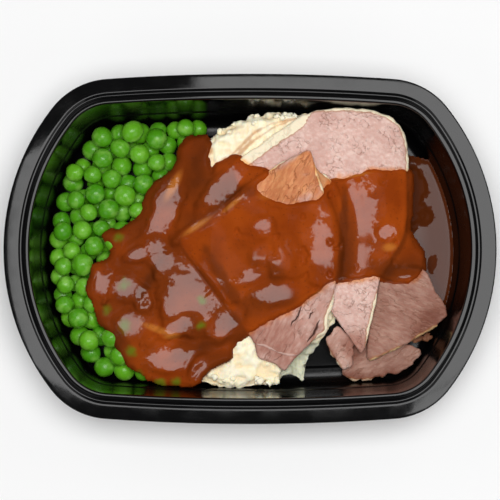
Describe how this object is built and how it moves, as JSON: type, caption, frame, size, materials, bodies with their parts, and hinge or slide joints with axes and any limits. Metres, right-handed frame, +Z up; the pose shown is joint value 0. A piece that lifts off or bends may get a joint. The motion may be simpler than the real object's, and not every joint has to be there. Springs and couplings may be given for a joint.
{
  "type": "sunday roast dinner",
  "caption": "Roast dinner in an oval-ended black plastic tray: peas, mashed potato, overlapping slices of roast meat and brown gravy.",
  "frame": {"origin": "on the table, under the middle of the tray", "axes": "+X along the tray from the peas to the meat, +Y across it towards the edge where the mash is bare, +Z up"},
  "size_m": [0.22, 0.1564, 0.038],
  "materials": {
    "tray": "black, glossy",
    "peas": "soft skin, slightly glossy",
    "mash": "matt, rough",
    "meat": "moist, fibrous",
    "gravy": "wet, glossy"
  },
  "bodies": {
    "root": {"tray": "tray", "peas": "peas", "mash": "mash", "slice_back": "meat", "slice_under": "meat", "slice_front": "meat", "slice_right": "meat", "slice_low": "meat", "slice_base": "meat", "meat_scrap": "meat", "gravy": "gravy", "gravy_pool": "gravy"}
  },
  "joints": []
}
